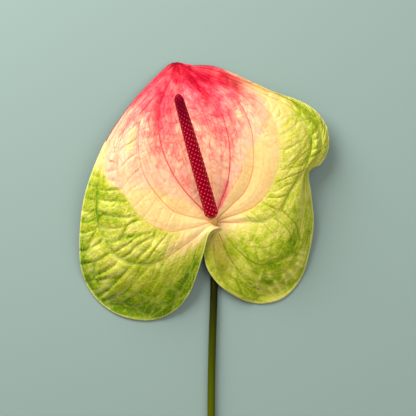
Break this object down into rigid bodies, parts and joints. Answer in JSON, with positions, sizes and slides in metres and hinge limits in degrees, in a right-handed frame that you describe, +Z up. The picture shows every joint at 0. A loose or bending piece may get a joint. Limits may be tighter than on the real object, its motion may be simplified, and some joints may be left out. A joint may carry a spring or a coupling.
{
  "type": "anthurium flower",
  "caption": "Cut anthurium flower lying on its back, with a waved heart-shaped spathe that turns from pink to green, a crimson floret spike and a slim green stem.",
  "frame": {"origin": "middle of the flower's outline box, on the surface that it lies on", "axes": "+Y from the stem's cut end to the spathe's tip, +Z up out of the surface, +X across the spathe"},
  "size_m": [0.1252, 0.3164, 0.0415],
  "materials": {
    "spathe": "waxy leaf, pink at the tip, cream in the middle and green at the lobes",
    "spadix": "crimson, beaded with pale pink florets",
    "stem": "satin dark olive green"
  },
  "bodies": {
    "root": {"spathe": "spathe", "spadix": "spadix", "stem": "stem"}
  },
  "joints": []
}
